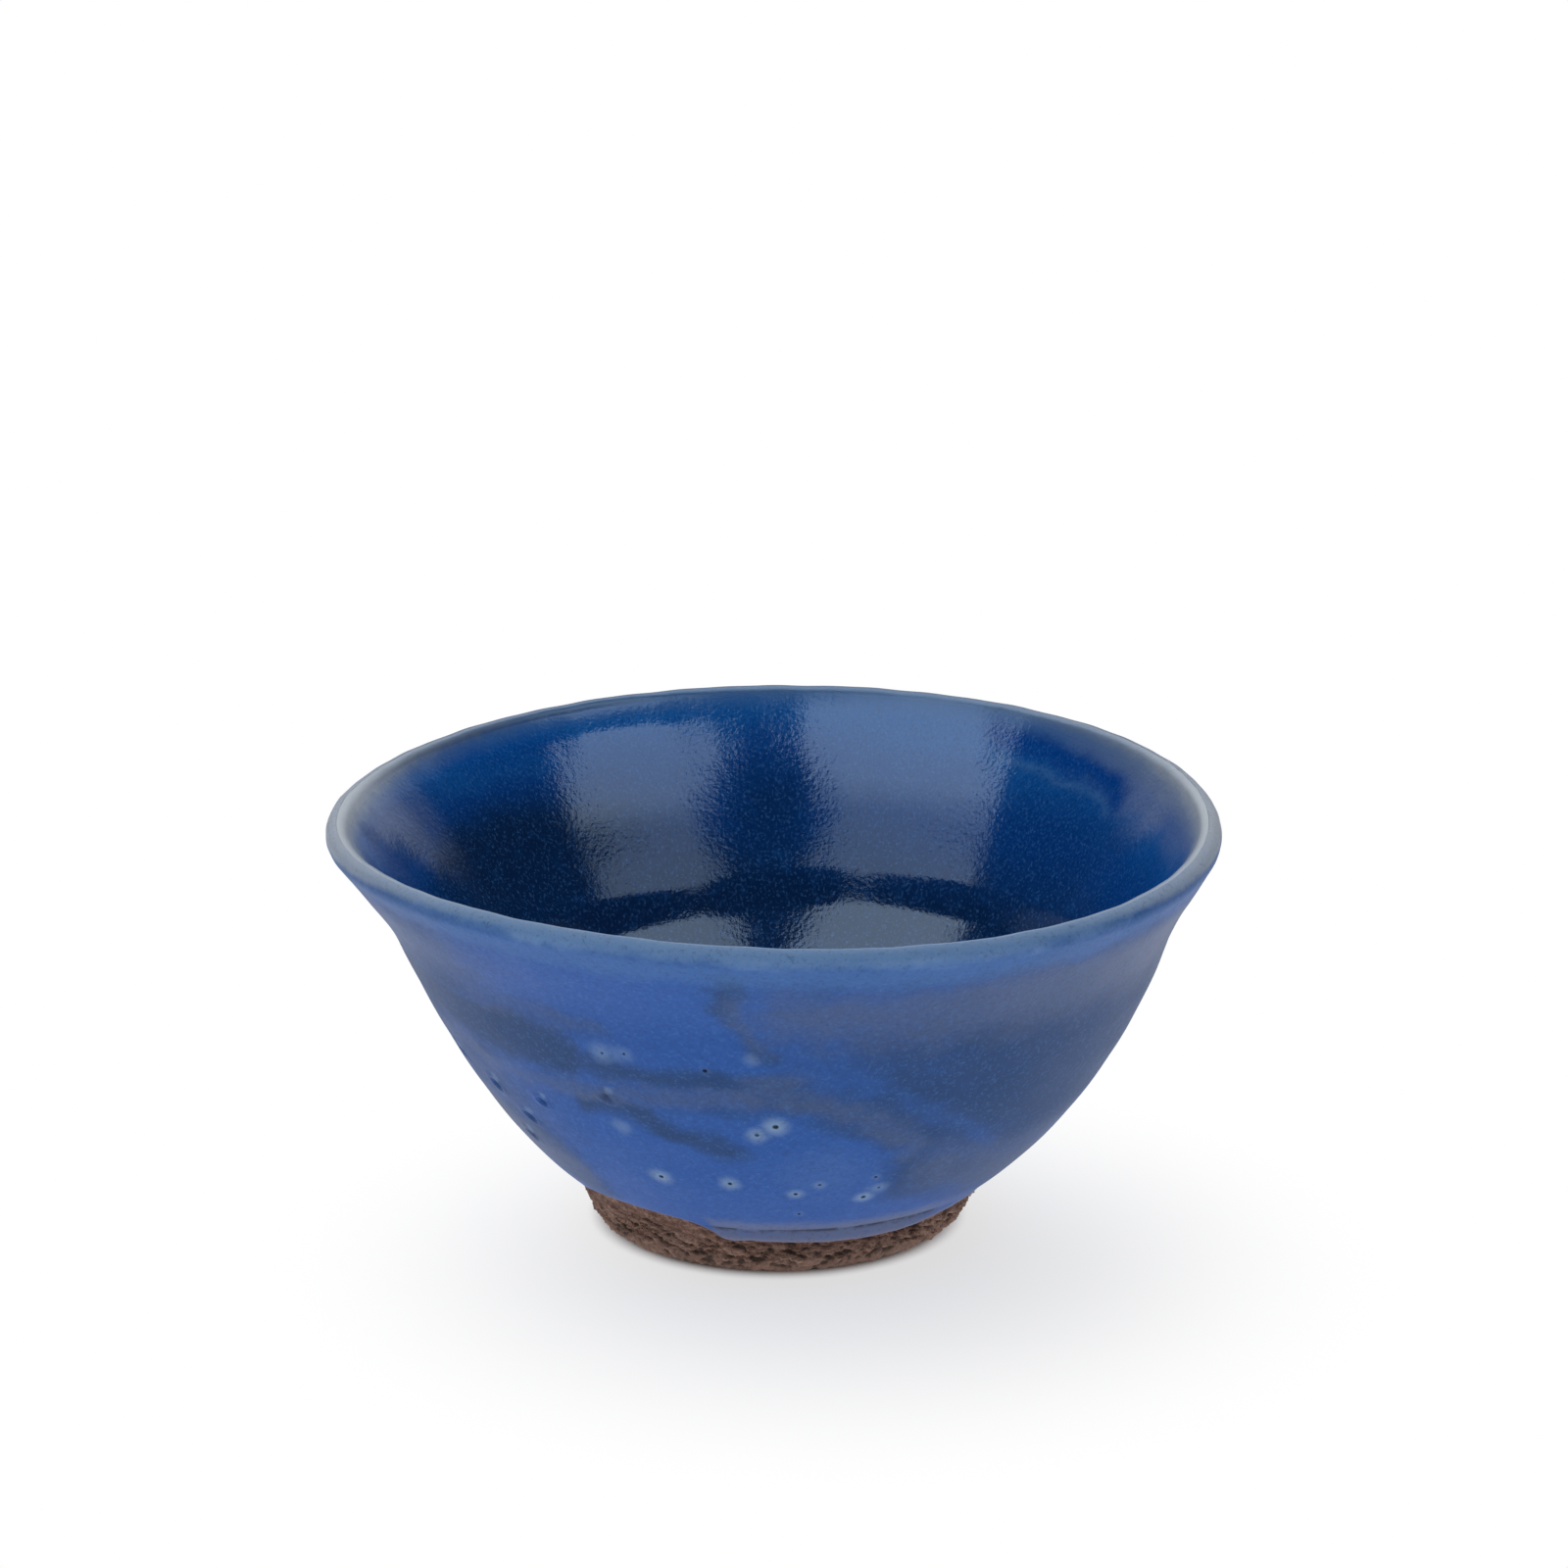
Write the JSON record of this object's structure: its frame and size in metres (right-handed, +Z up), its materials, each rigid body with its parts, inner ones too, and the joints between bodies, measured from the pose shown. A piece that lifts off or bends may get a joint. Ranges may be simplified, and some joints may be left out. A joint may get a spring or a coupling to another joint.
{
  "type": "gongfu tea cup",
  "caption": "Small hand-thrown stoneware tea cup with a flared lip, glazed inside and out, on a bare turned foot ring.",
  "frame": {"origin": "middle of the foot ring's standing face, on the axis that the rim and the foot share", "axes": "+Z up through the mouth, -Y towards the pictured front, +X to the right of that view"},
  "size_m": [0.0783, 0.0816, 0.0379],
  "materials": {
    "stoneware": "bare, rough, dark brown",
    "liner_glaze": "gloss, deep cobalt",
    "outer_glaze": "satin, cobalt blue"
  },
  "bodies": {
    "root": {"stoneware_body": "stoneware", "liner_glaze": "liner_glaze", "outer_glaze": "outer_glaze"}
  },
  "joints": []
}
